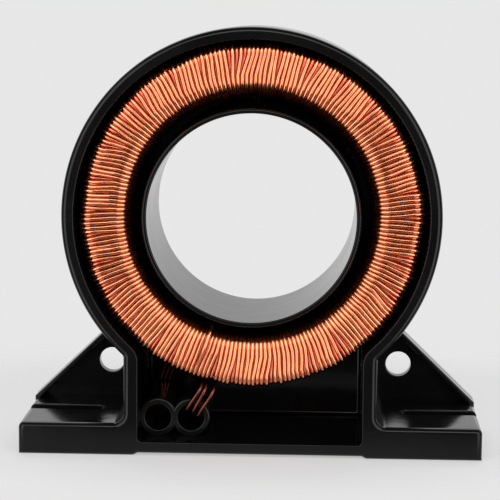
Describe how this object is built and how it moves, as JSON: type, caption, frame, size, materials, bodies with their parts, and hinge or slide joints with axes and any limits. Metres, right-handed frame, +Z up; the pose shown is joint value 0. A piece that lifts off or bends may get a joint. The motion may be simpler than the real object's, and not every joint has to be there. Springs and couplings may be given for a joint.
{
  "type": "window-type current transformer",
  "caption": "Open moulded housing with a round window, a toroidal copper winding on a wrapped core, leads into terminal bosses, slotted feet and drilled gussets.",
  "frame": {"origin": "centre of the window, on its axis at half the housing's depth", "axes": "+Y along the window's axis from the open front to the closed rear, +X to the right seen from the front, +Z up from the feet"},
  "size_m": [0.1342, 0.0498, 0.124],
  "materials": {
    "housing_plastic": "black moulded plastic, satin, fine grain",
    "copper_wire": "enamelled copper wire, clear amber enamel",
    "core_steel": "tape-wound silicon steel, mill finish",
    "edge_board": "pressed insulating board",
    "core_tape": "woven polyester tape",
    "terminal_brass": "turned brass",
    "terminal_steel": "zinc-plated steel"
  },
  "bodies": {
    "root": {"housing": "housing_plastic", "core_ring": "core_steel", "edge_ring_front": "edge_board", "edge_ring_rear": "edge_board", "core_tape": "core_tape", "winding_inner": "copper_wire", "winding_outer": "copper_wire", "finish_lead_a": "copper_wire", "finish_lead_b": "copper_wire", "finish_lead_c": "copper_wire", "start_lead_a": "copper_wire", "start_lead_b": "copper_wire", "start_lead_c": "copper_wire", "terminal_bush_inboard": "terminal_brass", "terminal_bush_outboard": "terminal_brass", "terminal_washers": "terminal_steel", "terminal_screws": "terminal_steel"}
  },
  "joints": []
}
